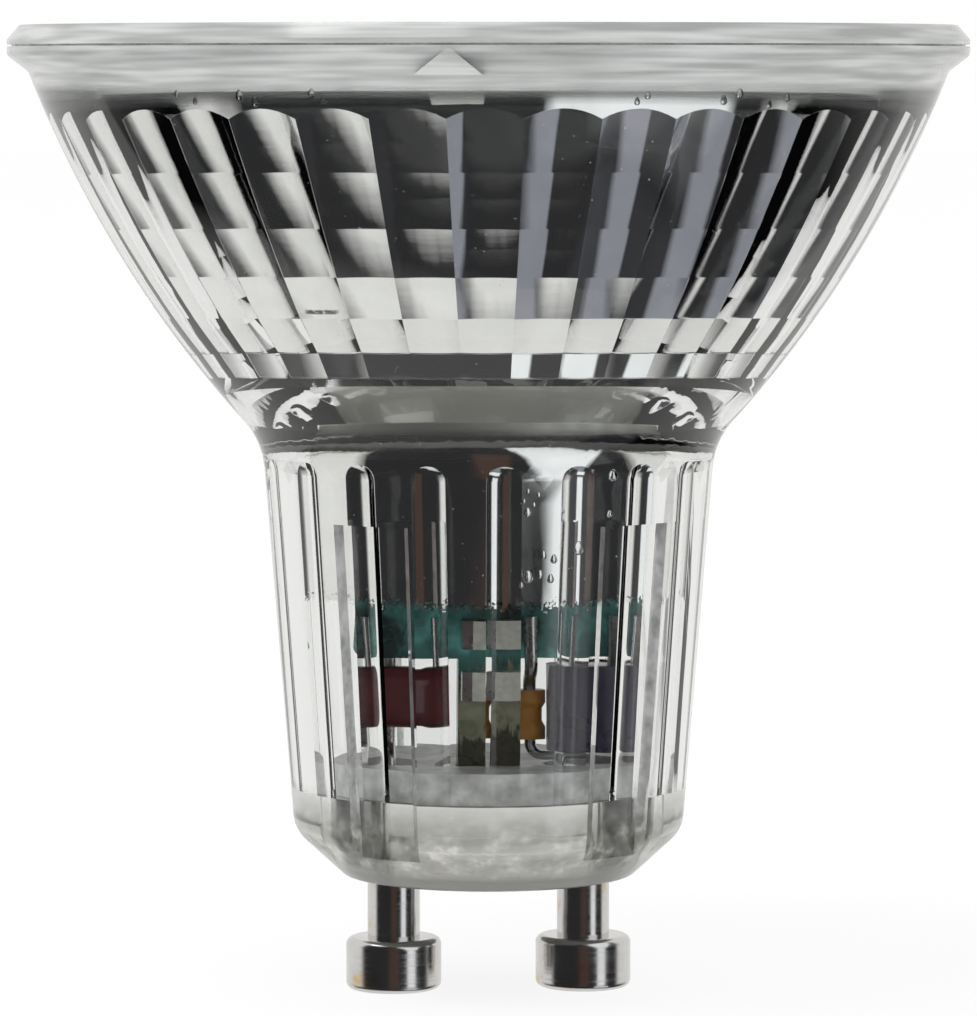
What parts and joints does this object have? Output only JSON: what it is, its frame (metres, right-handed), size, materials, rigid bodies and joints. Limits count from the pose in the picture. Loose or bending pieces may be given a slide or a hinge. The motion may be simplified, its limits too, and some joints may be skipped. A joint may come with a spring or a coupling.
{
  "type": "gu10 spotlight bulb",
  "caption": "Spotlight bulb with a fluted, mirror-lined clear glass body, a flat front lens and a twist-lock pin base; it shows its driver board through the neck.",
  "frame": {"origin": "midway between the contact pins, on the plane of their ends", "axes": "+Z along the lamp's axis out of the front lens, +X from the left pin to the right pin as the picture shows them, -Y towards the viewer"},
  "size_m": [0.05, 0.0501, 0.0505],
  "materials": {
    "body_glass": "pressed clear glass with a faint green-grey cast",
    "lens_glass": "clear glass",
    "mirror_film": "bright metal film with a speckled lower edge",
    "clear_adhesive": "clear adhesive",
    "heat_adhesive": "grey heat-conducting silicone",
    "light_board": "white lacquered aluminium board",
    "phosphor": "yellow phosphor in silicone",
    "dam_silicone": "white silicone",
    "lead_insulation": "white insulation",
    "pin_nickel": "nickel-plated brass, polished, slightly worn",
    "board_laminate": "dark green lacquered laminate",
    "potting_silicone": "white silicone",
    "dipped_lacquer": "dark red-brown dipped lacquer",
    "tinned_wire": "tinned metal",
    "can_aluminium": "drawn aluminium",
    "can_sleeve": "dark shrink sleeve",
    "resistor_lacquer": "amber lacquer",
    "ferrite": "dark grey ferrite",
    "copper_enamel": "enamelled copper wire",
    "chip_moulding": "black moulding compound",
    "chip_ceramic": "tan ceramic"
  },
  "bodies": {
    "root": {"glass_body": "body_glass", "mirror_film": "mirror_film", "front_lens": "lens_glass", "lens_seal": "clear_adhesive", "heat_pad": "heat_adhesive", "light_board": "light_board", "emitter_disc": "phosphor", "emitter_dam": "dam_silicone", "light_lead_left": "lead_insulation", "light_lead_right": "lead_insulation", "contact_pin_left": "pin_nickel", "contact_pin_right": "pin_nickel", "driver_board": "board_laminate", "board_potting": "potting_silicone", "film_capacitor": "dipped_lacquer", "film_capacitor_leads": "tinned_wire", "capacitor_can": "can_aluminium", "capacitor_sleeve": "can_sleeve", "capacitor_can_leads": "tinned_wire", "fuse_resistor": "resistor_lacquer", "fuse_leads": "tinned_wire", "mains_lead": "tinned_wire", "choke_core": "ferrite", "choke_winding": "copper_enamel", "rectifier": "chip_moulding", "driver_chip": "chip_moulding", "chip_legs": "tinned_wire", "chip_components": "chip_ceramic", "chip_component_ends": "tinned_wire"}
  },
  "joints": []
}
